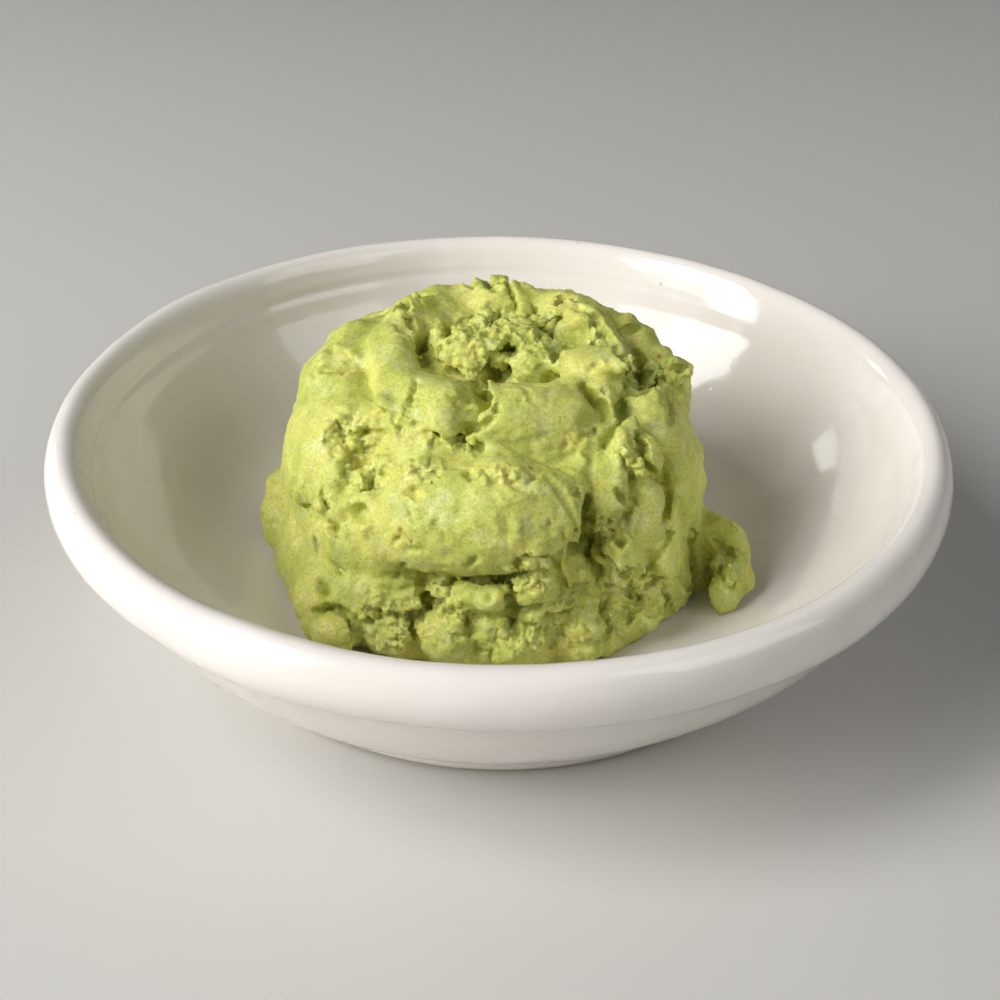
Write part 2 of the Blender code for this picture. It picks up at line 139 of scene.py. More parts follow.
def count_triangles(piece):
    return sum(len(face.vertices) - 2 for face in piece.data.polygons)


def swell(points, grain, seed):
    """Smooth noise from about -1 to 1 at each point, with bumps of about the grain's size in millimetres."""
    shift = Vector((seed * 17.3, seed * 5.1, seed * 9.7))
    return np.array([noise.noise(Vector(p) / grain + shift) for p in points])


# %% [markdown]
# Colours are written as a paint chart gives them, in sRGB hex, and turned to the linear values that the
# shader adds and multiplies. One helper adds a node with its settings and its links.

# %% Colour and node helpers
def linear(hex_colour):
    """An sRGB hex colour as the linear RGBA that a shader takes."""
    parts = [int(hex_colour[i:i + 2], 16) / 255 for i in (1, 3, 5)]
    return (*(c / 12.92 if c <= 0.04045 else ((c + 0.055) / 1.055) ** 2.4 for c in parts), 1.0)


def add_node(material, kind, settings=(), **inputs):
    """Adds a node: settings are its own properties, inputs are values or (node, output) links by socket.

    A socket is named with _ for each space, or counted, as _0, where several share one name.
    """
    node = material.node_tree.nodes.new("ShaderNode" + kind)
    for setting, value in dict(settings).items():
        setattr(node, setting, value)
    for socket, value in inputs.items():
        target = node.inputs[int(socket[1:]) if socket[1:].isdigit() else socket.replace("_", " ")]
        if isinstance(value, tuple) and isinstance(value[0], bpy.types.Node):
            material.node_tree.links.new(value[0].outputs[value[1]], target)
        else:
            target.default_value = value
    return node


def new_material(name):
    material = bpy.data.materials.new(name)
    material.use_nodes = True
    material.node_tree.nodes.clear()
    return material


def add_ramp(material, source, stops):
    """A colour ramp from a (node, output), with stops as (place, hex colour)."""
    ramp = add_node(material, "ValToRGB", Fac=source)
    elements = ramp.color_ramp.elements
    while len(elements) < len(stops):
        elements.new(0.5)
    for element, (place, hex_colour) in zip(elements, stops):
        element.position = place
        element.color = linear(hex_colour)
    return ramp


def finish_material(material, surface):
    add_node(material, "OutputMaterial", Surface=(surface, "BSDF"))
    return material


# %% [markdown]
# ## The dish
#
# The real dish is thrown porcelain with a rolled rim and a trimmed foot, dipped in a warm white glaze that
# pools and thins as it melts. It could be turned anew with a Screw modifier, but the CAD solid has the
# right profile already, so its copy is smoothed with Subdivision Surface and given the small unevenness
# that fingers and glaze leave: a soft swell and a fine ripple. Inside, glaze has pooled in the corner where
# the wall meets the rolled rim, and on the left it left a shallow crease there.

# %% Shape the dish
# height and grain of the potter's swell and of the glaze's ripple, which fade to nothing at the foot
SWELL_HEIGHT, SWELL_GRAIN = 0.16, 14.0
RIPPLE_HEIGHT, RIPPLE_GRAIN = 0.035, 2.6
FOOT_HEIGHT = 2.0
# the corner under the rolled rim, and the pooled glaze and the crease in it
CORNER_RADIUS, CORNER_HEIGHT = 36.2, 16.9
POOL_WIDTH, POOL_HEIGHT = 1.5, 0.28
CREASE_WIDTH, CREASE_DEPTH = 0.5, 0.24
# two triangles make a quad if they lie this flat and the quad is skewed no more than this, in degrees
QUAD_ANGLE, QUAD_SKEW = 30, 60


def shape_dish():
    dish = copy_of_node("dish", "porcelain_dish")
    bpy.ops.object.mode_set(mode="EDIT")
    bpy.ops.mesh.select_all(action="SELECT")
    bpy.ops.mesh.tris_convert_to_quads(face_threshold=math.radians(QUAD_ANGLE),
                                       shape_threshold=math.radians(QUAD_SKEW))
    bpy.ops.object.mode_set(mode="OBJECT")
    apply_modifier(dish, "SUBSURF", levels=2, render_levels=2)
    points, normals = points_of(dish), normals_of(dish)
    radius = np.hypot(points[:, 0], points[:, 1])
    from_corner = np.hypot(radius - CORNER_RADIUS, points[:, 2] - CORNER_HEIGHT)
    uneven = SWELL_HEIGHT * swell(points, SWELL_GRAIN, 1) + RIPPLE_HEIGHT * swell(points, RIPPLE_GRAIN, 2)
    uneven *= np.clip(points[:, 2] / FOOT_HEIGHT, 0, 1)
    uneven += POOL_HEIGHT * np.exp(-((from_corner / POOL_WIDTH) ** 2))
    left = np.clip(0.5 - 0.6 * points[:, 0] / np.maximum(radius, 1), 0, 1)
    uneven -= CREASE_DEPTH * left * np.exp(-((from_corner / CREASE_WIDTH) ** 2))
    set_points(dish, points + normals * uneven[:, None])
    dish.data.shade_smooth()
    return dish


dish = shape_dish()
print("porcelain_dish:", count_triangles(dish), "triangles")

# %% [markdown]
# ### Glazed porcelain
#
# A clear glaze over a warm white body: an even, slightly creamy colour, a semi-gloss skin that takes soft
# highlights of the window, faint pinholes and iron specks, and a bare, rough ring where the foot was wiped
# clean. An image could carry the specks, but a pattern in nodes needs no unwrapping. It follows Object
# coordinates in metres, so each scale is worked out from a size in millimetres.

# %% Glaze the dish
def glazed_porcelain():
    material = new_material("glazed porcelain")
    place = add_node(material, "TexCoord")
    drift = add_node(material, "TexNoise", Vector=(place, "Object"), Scale=1 / (18 * MM), Detail=3.0)
    body = add_ramp(material, (drift, "Fac"), [(0.3, "#E4DDD5"), (0.55, "#E9E3DC"), (0.75, "#E0DAD3")])
    specks = add_node(material, "TexVoronoi", Vector=(place, "Object"), Scale=1 / (2.4 * MM), Randomness=1.0)
    few = add_node(material, "TexNoise", Vector=(place, "Object"), Scale=1 / (5 * MM), Detail=1.0)
    speck_size = add_node(material, "MapRange", Value=(few, "Fac"), From_Min=0.45, From_Max=0.75,
                          To_Min=0.0, To_Max=0.09)
    in_speck = add_node(material, "Math", {"operation": "LESS_THAN"}, _0=(specks, "Distance"),
                        _1=(speck_size, "Result"))
    speckled = add_node(material, "MixRGB", Fac=(in_speck, "Value"), Color1=(body, "Color"),
                        Color2=linear("#CFC6B4"))
    height = add_node(material, "SeparateXYZ", Vector=(place, "Object"))
    bare = add_node(material, "MapRange", Value=(height, "Z"), From_Min=0.45 * MM, From_Max=0.75 * MM,
                    To_Min=1.0, To_Max=0.0)
    colour = add_node(material, "MixRGB", Fac=(bare, "Result"), Color1=(speckled, "Color"),
                      Color2=linear("#C9BBA4"))
    gloss = add_node(material, "MapRange", Value=(bare, "Result"), To_Min=0.09, To_Max=0.75)
    orange_peel = add_node(material, "TexNoise", Vector=(place, "Object"), Scale=1 / (1.1 * MM), Detail=2.0)
    pits = add_node(material, "TexVoronoi", Vector=(place, "Object"), Scale=1 / (1.6 * MM))
    pit = add_node(material, "MapRange", Value=(pits, "Distance"), From_Min=0.0, From_Max=0.14,
                   To_Min=0.0, To_Max=1.0)
    relief = add_node(material, "Math", {"operation": "MULTIPLY_ADD"}, _0=(orange_peel, "Fac"), _1=0.6,
                      _2=(pit, "Result"))
    bump = add_node(material, "Bump", Height=(relief, "Value"), Distance=0.03 * MM, Strength=0.5)
    surface = add_node(material, "BsdfPrincipled", Base_Color=(colour, "Color"), IOR=1.46,
                       Roughness=(gloss, "Result"), Normal=(bump, "Normal"))
    return finish_material(material, surface)


dish.data.materials.append(glazed_porcelain())
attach(dish, "root")
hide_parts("dish")
print("glaze on", dish.name)

# %% [markdown]
# ## The paste
#
# Grated wasabi is a moist, gritty crumb that holds together when it is pressed. A spoon leaves smooth
# faces, and where it tears it shows cracks, pits and crumbs. A mesh of quads from bpy.ops can't give that,
# so the copy of the CAD mound is remeshed finely and then worked like clay: lumps are pressed on, points
# are moved in code along cracks and hollows, and the torn places are broken up into crumbs.

# %% Remesh the mound
# voxel size for the rough work and for the crumbs and the skin
CLAY_GRAIN = 0.25
FINE_GRAIN = 0.16


def remesh(piece, size, smoothing):
    """Fuses all that the piece holds to one skin of even quads, and smooths it so many times."""
    apply_modifier(piece, "REMESH", mode="VOXEL", voxel_size=size * MM, adaptivity=0.0)
    apply_modifier(piece, "SMOOTH", factor=0.5, iterations=smoothing)


paste = copy_of_node("wasabi_paste", "grated_wasabi")
remesh(paste, CLAY_GRAIN, 4)
print("grated_wasabi:", count_triangles(paste), "triangles")

# %% [markdown]
# ### Naming a place on the mound
#
# Places are named as the hand with the spoon sees them: millimetres across and up, in a plane that is
# tilted like the view, after walking round the dish by so many degrees. A ray from there finds the skin.
# Object-space coordinates would do as well, but they are hard to read on a lumpy dome.

# %% Find places on the skin
# how far out the ray starts, and how closely a route is filled with points
RAY_START = 80.0
ROUTE_SPACING = 0.25


def facing(around):
    """The way that the worker looks, and the ways to their right and up, after walking round the dish."""
    turn = Matrix.Rotation(math.radians(around), 3, "Z")
    sight = turn @ Vector((0.0, math.cos(LOOK_DOWN), -math.sin(LOOK_DOWN)))
    right = turn @ Vector((1.0, 0.0, 0.0))
    return sight, right, right.cross(sight)


def smooth_route(marks):
    """Points about ROUTE_SPACING apart on a smooth curve through the given ones."""
    marks = np.array(marks, float)
    padded = np.vstack([2 * marks[0] - marks[1], marks, 2 * marks[-1] - marks[-2]])
    found = []
    for before, start, end, after in zip(padded, padded[1:], padded[2:], padded[3:]):
        count = max(2, math.ceil(np.linalg.norm(end[:3] - start[:3]) / ROUTE_SPACING))
        for t in np.arange(count) / count:
            bend = (2 * before - 5 * start + 4 * end - after) * t**2
            twist = (3 * start - before - 3 * end + after) * t**3
            found.append(start + 0.5 * ((end - before) * t + bend + twist))
    found.append(marks[-1])
    return np.array(found)


class Clay:
    """The piece's points and normals in millimetres, with a tree that finds places on its skin."""

    def __init__(self, piece):
        self.piece = piece
        self.points = points_of(piece)
        self.normals = normals_of(piece)
        polygons = [tuple(face.vertices) for face in piece.data.polygons]
        self.tree = BVHTree.FromPolygons(self.points.tolist(), polygons)

    def find(self, marks, around=0.0):
        """The skin's places and normals at (across, up) marks. A mark beside the mound is left out."""
        sight, right, up = facing(around)
        hits = [self.tree.ray_cast(right * a + up * b - sight * RAY_START, sight) for a, b in marks]
        hits = [hit for hit in hits if hit[0] is not None]
        return np.array([hit[0] for hit in hits]), np.array([hit[1] for hit in hits])

    def near(self, places, reach):
        low, high = places.min(0) - reach, places.max(0) + reach
        return np.flatnonzero(((self.points > low) & (self.points < high)).all(1))

    def finish(self):
        set_points(self.piece, self.points)


# %% [markdown]
# ### Lumps
#
# The mound was dropped from a spoon in several pushes, and each left a lump with a torn edge. Each lump
# here is one icosphere, squared off a little, roughened, laid flat on the skin and sunk part way in.
# Metaballs would melt into each other. A voxel remesh keeps the seams between lumps as they are.

# %% Press on the lumps
# (across, up), (half width, half height, half thickness), lean in degrees
LUMPS = {
    "foot_right_end": ((15.8, -0.1), (1.4, 0.9, 1.2), 0),
    "foot_right_front": ((7.4, -2.2), (1.5, 1.2, 1.4), 10),
    "curl_tip": ((20.6, 0.2), (1.4, 1.6, 1.3), 0),
    "left_face_low": ((-9.4, 0.6), (4.2, 2.8, 2.3), -6),
    "left_face_foot": ((-13.0, 0.2), (3.0, 2.4, 2.1), 0),
    "heel": ((-15.6, 0.2), (2.2, 2.6, 1.5), 12),
    "ball": ((-13.8, -3.0), (1.8, 1.5, 1.7), 0),
    "below_lobe": ((-1.6, 0.4), (2.4, 1.3, 1.3), 4),
    "below_lobe_right": ((3.0, 1.2), (1.9, 1.6, 1.4), 14),
    "split_block": ((6.4, 2.3), (1.4, 1.8, 1.6), 4),
    "foot_front": ((-4.6, -3.2), (2.6, 2.0, 1.6), 20),
    "foot_bright": ((-0.6, -2.4), (1.8, 1.6, 1.7), -20),
    "foot_middle": ((2.6, -3.8), (2.8, 1.4, 1.4), 14),
    "foot_ledge": ((4.8, -1.0), (3.2, 0.7, 1.3), 14),
    "left_low": ((-8.4, -0.3), (2.0, 1.2, 1.4), 8),
    "left_foot": ((-9.6, -3.2), (2.6, 1.8, 1.4), 0),
    "finger_top": ((10.4, 13.4), (1.2, 2.2, 1.4), -6),
    "finger": ((8.7, 9.4), (1.9, 2.7, 1.5), 6),
    "right_block": ((11.2, 6.6), (2.7, 3.9, 1.6), -10),
    "right_block_tip": ((10.8, 3.2), (1.5, 2.2, 1.3), 8),
    "slab_low": ((14.6, 3.4), (2.2, 2.4, 1.3), -14),
    "right_foot": ((10.2, -0.1), (1.7, 1.2, 1.4), 0),
    "right_foot_outer": ((13.4, -0.9), (2.4, 1.3, 1.4), 6),
    "top_right": ((11.0, 23.6), (2.4, 1.7, 2.0), -36),
    "roll": ((7.9, 20.4), (2.0, 3.6, 1.1), 20),
    "roll_top": ((6.6, 24.2), (1.7, 2.8, 1.2), 35),
    "top_corner": ((14.6, 21.3), (2.5, 1.7, 2.1), -38),
    "corner": ((15.4, 19.8), (1.7, 1.5, 2.2), 20),
    "shoulder_bead": ((12.0, 16.4), (0.9, 0.9, 0.9), 0),
    "crater_floor": ((-1.2, 21.0), (4.6, 1.9, 2.2), 0),
    "crater_left": ((-3.8, 21.6), (2.0, 2.2, 1.6), 10),
    "crater_right": ((2.6, 20.4), (2.0, 1.0, 1.2), 0),
    "crater_front": ((1.6, 20.0), (2.8, 0.9, 1.8), 0),
    "crater_middle": ((0.4, 22.6), (2.0, 1.4, 1.4), 0),
    "crater_back": ((2.4, 24.6), (2.6, 1.2, 0.8), 0),
    "crater_back_left": ((-3.4, 24.8), (2.4, 1.2, 0.8), 0),
    "crater_end": ((5.4, 26.0), (1.5, 1.2, 1.2), 20),
    "hollow_chunk": ((-13.9, 13.8), (0.9, 0.8, 0.8), 0),
    "hollow_chunk_right": ((-10.2, 11.8), (1.3, 1.1, 0.9), 30),
    "curl_filling": ((17.9, 1.6), (1.8, 2.2, 3.2), 0),
    "curl_rim": ((20.9, 2.6), (1.4, 1.8, 1.6), 0),
}
# how finely an icosphere is divided, and how much of its half thickness a lump sinks in
LUMP_DETAIL = 4
LUMP_SINK = 0.35
# 2 is round, and more is boxier; how far the skin is pushed out, and how many bumps it has
LUMP_SQUARENESS = 2.6
LUMP_ROUGHNESS = 0.32
LUMP_BUMPS = 1.3


def ball(detail):
    """An icosphere's points, one from its middle, and its faces."""
    bpy.ops.mesh.primitive_ico_sphere_add(subdivisions=detail, radius=MM)
    made = bpy.context.object
    points, faces = points_of(made), np.array([tuple(face.vertices) for face in made.data.polygons])
    bpy.data.objects.remove(made)
    return points, faces


def lump(points, place, normal, half_sizes, lean, seed):
    """A ball's points as one rough lump: its height runs up the skin, and its thickness along the normal."""
    shift = Vector((seed * 3.7, seed * 1.9, seed * 8.3))
    points = points / (np.abs(points) ** LUMP_SQUARENESS).sum(1, keepdims=True) ** (1 / LUMP_SQUARENESS)
    rough = np.array([noise.turbulence(Vector(p) * LUMP_BUMPS + shift, 3, False) for p in points])
    roughness = LUMP_ROUGHNESS / max(1.0, float(np.mean(half_sizes)))
    points = points * (1 + roughness * rough[:, None]) * half_sizes
    out = Vector(normal).normalized()
    across = Vector((0.0, 0.0, 1.0)).cross(out).normalized()
    turn = Matrix.Rotation(math.radians(lean), 3, out)
    axes = np.array([turn @ across, turn @ out.cross(across), out])
    return place - np.array(out) * LUMP_SINK * half_sizes[2] + points @ axes


def join_lumps(piece, lumps, faces):
    """Joins the lumps to the piece, which the next remesh fuses."""
    first = len(lumps[0]) * np.arange(len(lumps))[:, None, None]
    mesh = bpy.data.meshes.new("lumps")
    mesh.from_pydata((np.vstack(lumps) * MM).tolist(), [], (faces + first).reshape(-1, 3).tolist())
    joined = bpy.data.objects.new("lumps", mesh)
    bpy.context.scene.collection.objects.link(joined)
    select_only(piece)
    joined.select_set(True)
    bpy.ops.object.join()


def press_lumps(piece):
    clay = Clay(piece)
    points, faces = ball(LUMP_DETAIL)
    lumps = []
    for seed, (mark, half_sizes, lean) in enumerate(LUMPS.values(), 1):
        for place, normal in zip(*clay.find([mark])):
            lumps.append(lump(points, place, normal, half_sizes, lean, seed))
    join_lumps(piece, lumps, faces)


press_lumps(paste)
remesh(paste, CLAY_GRAIN, 1)
print("pressed on", len(LUMPS), "lumps:", count_triangles(paste), "triangles")

# %% [markdown]
# ### Cracks and hollows
#
# A crack is a slot whose two sides have torn apart, so its edges wander. A Boolean with thin wedges would
# cut straight walls. Instead the points near a route on the skin sink along it, deepest in the middle,
# after noise has pushed the route about. A shallow, wide one is no tear but a soft crease. Where the paste
# above hangs over, the slot slants up behind it. Hollows are wider, with a ragged outline and a lumpy
# floor, and small nicks break up the faces between them.

# %% Cut the cracks and tear the hollows
# route as (across, up) marks, half width, depth, how steeply it slants up
CRACKS = {
    "curl_roll": ([(19.6, 4.6), (20.7, 3.9), (21.2, 2.5), (20.8, 1.1)], 0.4, 1.1, 0.0),
    "foot_gap_far": ([(14.4, 1.2), (14.8, 0.0), (14.6, -1.4)], 0.4, 1.0, 0.0),
    "foot_gap_right": ([(11.4, 0.6), (11.7, -0.6), (11.4, -2.0)], 0.4, 1.2, 0.0),
    "crater_left": ([(-6.4, 23.8), (-7.0, 22.4), (-6.9, 20.9), (-5.7, 19.8)], 0.8, 2.8, 0.0),
    "crater_front": ([(-5.4, 19.8), (-3.4, 19.4), (-1.6, 19.4), (-0.4, 19.3)], 0.4, 0.8, 0.0),
    "crater_slot": ([(-0.9, 19.7), (-0.1, 19.3), (0.8, 19.6)], 0.6, 2.0, 0.0),
    "crater_dip": ([(-0.6, 21.4), (0.3, 21.2), (1.2, 21.5)], 0.6, 1.6, 0.0),
    "crater_right": ([(4.0, 21.9), (4.8, 21.2), (4.6, 20.4)], 0.5, 1.6, 0.0),
    "crater_back": ([(-2.4, 24.0), (-1.0, 23.6), (0.6, 23.9)], 0.4, 0.7, 0.0),
    "tongue_outer": ([(-12.4, 22.0), (-12.0, 19.4), (-11.2, 17.2), (-9.8, 15.2), (-8.8, 14.2)],
                     0.9, 0.7, 0.0),
    "tongue_end": ([(-9.4, 15.0), (-8.8, 14.5), (-8.3, 14.0)], 0.6, 1.6, 0.0),
    "shoulder_crease": ([(-12.6, 20.4), (-11.8, 20.1)], 0.4, 0.9, 0.0),
    "cap_left": ([(-7.0, 17.8), (-7.3, 16.6), (-7.6, 15.2)], 0.4, 0.8, 0.0),
    "cap_split": ([(-2.2, 18.4), (-1.7, 17.6), (-1.5, 16.6), (-2.2, 15.6), (-2.4, 14.6), (-2.9, 13.6)],
                  0.55, 2.2, 0.0),
    "cap_split_top": ([(-2.0, 17.8), (-1.5, 17.0), (-1.3, 16.2)], 0.6, 1.2, 0.0),
    "cap_crescent": ([(1.4, 17.6), (2.2, 17.2), (2.5, 16.4)], 0.3, 0.3, 0.0),
    "under_cap": ([(-6.0, 13.4), (-4.9, 13.0), (-3.4, 12.9), (-1.9, 12.3)], 0.5, 1.8, 0.6),
    "cap_foot": ([(0.2, 12.7), (2.6, 12.1), (5.0, 11.7), (7.0, 12.0)], 1.8, 1.1, 0.5),
    "cap_flake": ([(6.6, 14.6), (6.8, 13.4), (6.4, 12.4), (5.6, 11.8)], 0.3, 0.4, 0.0),
    "under_roll": ([(7.0, 17.8), (7.8, 17.0), (8.3, 16.2), (8.6, 15.2)], 0.5, 1.6, 0.3),
    "roll_outer": ([(6.8, 25.9), (8.4, 24.4), (9.8, 22.4), (10.7, 20.4), (10.9, 18.4), (10.2, 16.2),
                    (9.4, 14.6), (8.9, 13.2)], 0.6, 1.3, 0.0),
    "between_top_lumps": ([(12.0, 21.4), (12.6, 20.4), (11.4, 19.8)], 0.6, 1.4, 0.0),
    "corner_split": ([(14.0, 20.8), (14.4, 19.6), (13.9, 18.6)], 0.35, 0.9, 0.0),
    "below_corner": ([(10.9, 17.6), (12.2, 17.6), (13.6, 18.2), (14.4, 18.8)], 0.5, 1.2, 0.2),
    "finger_gap": ([(11.6, 14.2), (11.9, 12.0), (12.6, 10.8), (13.6, 10.0)], 0.4, 1.3, 0.0),
    "finger_side": ([(9.4, 13.2), (10.2, 11.6), (10.8, 10.2), (11.0, 8.4), (10.4, 6.8)], 0.35, 0.6, 0.0),
    "finger_end": ([(7.4, 6.8), (8.6, 6.4), (9.6, 6.6), (10.4, 6.8)], 0.4, 1.1, 0.4),
    "right_of_lobe": ([(6.4, 9.0), (7.0, 7.6), (7.0, 5.8), (7.6, 4.0), (8.3, 2.4), (8.4, 0.8)],
                      0.5, 1.4, 0.0),
    "slab_left": ([(14.0, 10.4), (14.4, 8.6), (14.4, 6.8), (14.6, 5.4), (13.8, 4.2), (12.4, 2.6)],
                  0.35, 0.7, 0.0),
    "right_low_foot": ([(8.8, 0.6), (10.4, 1.2), (12.2, 0.8), (14.4, 1.4), (16.4, 1.6)], 0.5, 1.7, 0.4),
    "foot_gap": ([(8.9, 0.2), (9.0, -1.2), (9.6, -2.4)], 0.45, 1.0, 0.0),
    "under_lobe": ([(-6.4, 1.8), (-4.8, 1.4), (-3.0, 1.4), (-1.2, 1.6), (0.4, 2.0), (1.4, 2.6)],
                   0.45, 1.8, 0.7),
    "under_lobe_right": ([(1.4, 2.6), (2.0, 3.3), (3.6, 3.3), (5.0, 4.0), (6.4, 5.4)], 0.5, 2.0, 0.6),
    "lobe_step": ([(0.4, 7.2), (0.8, 5.8), (0.9, 4.6)], 0.5, 0.12, 0.0),
    "lobe_ring": ([(3.8, 10.0), (5.0, 8.8), (5.9, 7.2), (6.1, 5.8)], 0.35, 0.4, 0.0),
    "lobe_top_crack": ([(-6.8, 10.4), (-5.8, 10.2), (-4.8, 10.3)], 0.35, 0.7, 0.2),
    "lobe_top_nick": ([(-2.6, 10.6), (-2.2, 10.0)], 0.35, 0.7, 0.0),
    "lobe_top_hole": ([(-7.4, 9.0), (-6.6, 8.6)], 0.5, 0.9, 0.0),
    "lobe_yellow_dip": ([(1.0, 9.8), (1.8, 9.2), (2.6, 9.4)], 0.5, 0.7, 0.0),
    "below_lobe_pocket": ([(0.8, 2.0), (1.2, 1.0), (1.0, 0.2)], 0.7, 1.8, 0.0),
    "block_split": ([(4.9, 3.0), (5.3, 2.0), (5.6, 1.0)], 0.3, 0.9, 0.0),
    "fold_upper": ([(1.0, -0.9), (3.4, -0.6), (5.4, 0.1), (7.6, 1.2)], 0.45, 1.5, 0.5),
    "fold_lower": ([(1.2, -2.2), (2.8, -2.0), (4.6, -1.6), (6.6, -0.9)], 0.45, 1.5, 0.5),
    "lower_hole": ([(-6.9, -2.8), (-6.7, -1.6), (-5.6, -0.5), (-4.4, -0.9)], 0.75, 2.6, 0.3),
    "foot_front_side": ([(-4.4, -0.9), (-3.0, -1.6), (-2.2, -2.8)], 0.4, 0.9, 0.0),
    "lower_left_seam": ([(-6.4, 1.6), (-6.2, 0.6), (-5.8, -0.4)], 0.5, 1.4, 0.0),
    "left_low_top": ([(-10.6, 0.1), (-9.4, 0.7), (-8.2, 0.4), (-7.2, 0.8)], 0.35, 0.5, 0.2),
    "left_low_foot": ([(-10.8, -1.6), (-9.2, -1.8), (-7.4, -1.8)], 0.45, 1.0, 0.3),
    "ball_gap": ([(-15.4, -1.4), (-14.0, -1.3), (-12.6, -1.6), (-12.0, -2.6), (-12.2, -3.8)], 0.45, 1.4, 0.2),
    "left_split": ([(-15.0, 1.0), (-14.4, 0.2), (-14.2, -0.6)], 0.5, 1.2, 0.0),
    "left_face_crack": ([(-15.0, 9.0), (-14.4, 8.0), (-14.2, 7.2)], 0.35, 0.8, 0.0),
    "left_face_hole": ([(-16.6, 7.4), (-16.0, 7.0)], 0.4, 0.8, 0.0),
    "left_face_hole_low": ([(-14.0, 5.8), (-13.4, 5.4)], 0.5, 0.9, 0.0),
    "left_face_dent": ([(-13.6, 2.4), (-13.0, 1.9)], 0.5, 0.8, 0.0),
    "right_block_edge": ([(7.6, 6.2), (8.4, 4.4), (9.4, 2.8), (10.8, 1.4), (12.2, 2.2)], 0.45, 1.4, 0.2),
    "right_block_nick": ([(9.9, 9.0), (10.4, 8.4), (11.2, 8.2)], 0.4, 1.2, 0.0),
    "right_block_hole": ([(9.4, 5.4), (10.2, 5.0)], 0.5, 1.1, 0.0),
    "slab_side": ([(17.4, 5.4), (17.8, 3.2), (17.6, 1.2), (17.0, -0.2)], 0.5, 0.8, 0.0),
    "flap_edge": ([(-17.4, 9.6), (-18.2, 7.0), (-18.0, 4.6)], 0.5, 0.4, 0.0),
}
# place as (across, up), radius, depth
HOLLOWS = {
    "left_upper": ((-13.2, 13.6), 1.8, 1.3),
    "left_middle": ((-11.4, 11.6), 2.6, 1.8),
    "left_deep": ((-10.4, 9.6), 1.6, 2.0),
    "left_tongue_foot": ((-9.6, 13.4), 1.2, 0.7),
    "crater_hole": ((3.4, 23.0), 0.8, 1.8),
    "crater_left_pit": ((-6.6, 21.4), 0.8, 0.8),
    "pinhole": ((-0.2, 15.7), 0.4, 0.9),
    "right_crevice": ((7.4, 5.4), 1.3, 0.9),
    "below_block": ((9.0, 2.4), 1.2, 0.8),
    "lower_pocket": ((-5.4, -0.8), 1.1, 0.9),
    "corner_dip": ((12.4, 19.4), 1.4, 0.8),
    "slab_foot": ((15.6, 0.6), 1.6, 0.5),
    "curl_inside": ((19.9, 2.4), 1.0, 0.8),
    "curl_foot": ((18.4, -0.4), 1.0, 1.0),
}
# grain of the wander, how far it pushes
TEAR_GRAINS = ((1.6, 0.70), (0.6, 0.45))
# vector noise starts from the clock unless it is seeded, and every run has to tear in the same way
TEAR_SEED = 11
noise.seed_set(TEAR_SEED)


def tear(points, seed=1):
    """How far torn edges wander at each point, as vectors."""
    shift = Vector((seed * 2.3, seed * 4.7, seed * 1.1))
    return sum(far * np.array([noise.noise_vector(Vector(p) / grain + shift) for p in points])
               for grain, far in TEAR_GRAINS)


# all cracks are this many times as deep as written
CRACK_DEPTH = 1.35
# a crack deeper than this many half widths is torn open, and the sides of any other wander less
TORN_OPEN_FROM = 1.5
CREASE_WANDER = 0.3
# the paste that a crack pushes up beside it: height, then place and width in half widths of the crack
LIP_HEIGHT, LIP_PLACE, LIP_WIDTH = 0.10, 1.6, 0.5
HOLLOW_WANDER = 0.9


def cut_crack(clay, marks, half_width, depth, slant, around=0.0):
    """Sinks a crack along a route of marks, with ragged sides, and returns its places if it is torn open."""
    places, normals = clay.find(marks, around)
    if len(places) < 2:
        return np.empty((0, 3))
    route = smooth_route(np.hstack([places, normals]))
    route, inward = route[:, :3], -route[:, 3:]
    inward[:, 2] += slant
    inward /= np.linalg.norm(inward, axis=1, keepdims=True)
    torn_open = depth > TORN_OPEN_FROM * half_width
    near = clay.near(route, 3 * half_width)
    points = clay.points[near]
    wander = half_width * (1.0 if torn_open else CREASE_WANDER) * tear(points)
    apart = np.linalg.norm((points + wander)[:, None] - route, axis=2)
    closest = apart.argmin(1)
    apart = apart.min(1) / half_width
    ends = np.sin(np.pi * np.linspace(0.05, 0.95, len(route))[closest]) ** 0.4
    groove = CRACK_DEPTH * depth * ends * np.clip(1 - apart, 0, 1) ** (0.5 if torn_open else 1.5)
    lip = LIP_HEIGHT * ends * np.exp(-(((apart - LIP_PLACE) / LIP_WIDTH) ** 2))
    clay.points[near] += inward[closest] * (groove - lip)[:, None]
    return route if torn_open else np.empty((0, 3))


def tear_hollow(clay, mark, radius, depth, around=0.0):
    """Sinks a ragged hollow, and returns its place."""
    places, normals = clay.find([mark], around)
    for place, normal in zip(places, normals):
        near = clay.near(places, 1.6 * radius)
        points = clay.points[near]
        wander = HOLLOW_WANDER * radius**0.5 * tear(points, 3)
        apart = np.linalg.norm(points + wander - place, axis=1) / radius
        sink = depth * np.clip(1 - apart**2, 0, 1) ** 0.8
        clay.points[near] -= normal * sink[:, None]
    return places


# small nicks in front: degrees round the dish, how many at each, half width, depth, slant
FRONT_LOOKS, NICKS_A_LOOK = (-35, 0, 35), 11
NICK_HALF_WIDTH, NICK_DEPTH, NICK_SLANT = (0.25, 0.4), (0.4, 0.7), 0.1
# the other sides: degrees round the dish, and the cracks and hollows that each of them gets
OTHER_SIDES = (110, 145, 180, 210, 238)
CRACKS_A_SIDE, CRACK_HALF_WIDTH, SIDE_DEPTH, SIDE_SLANT = 9, (0.35, 0.7), (0.8, 1.9), (0, 0.5)
HOLLOWS_A_SIDE, HOLLOW_RADIUS, HOLLOW_DEPTH = 3, (1.0, 2.4), (0.6, 1.2)


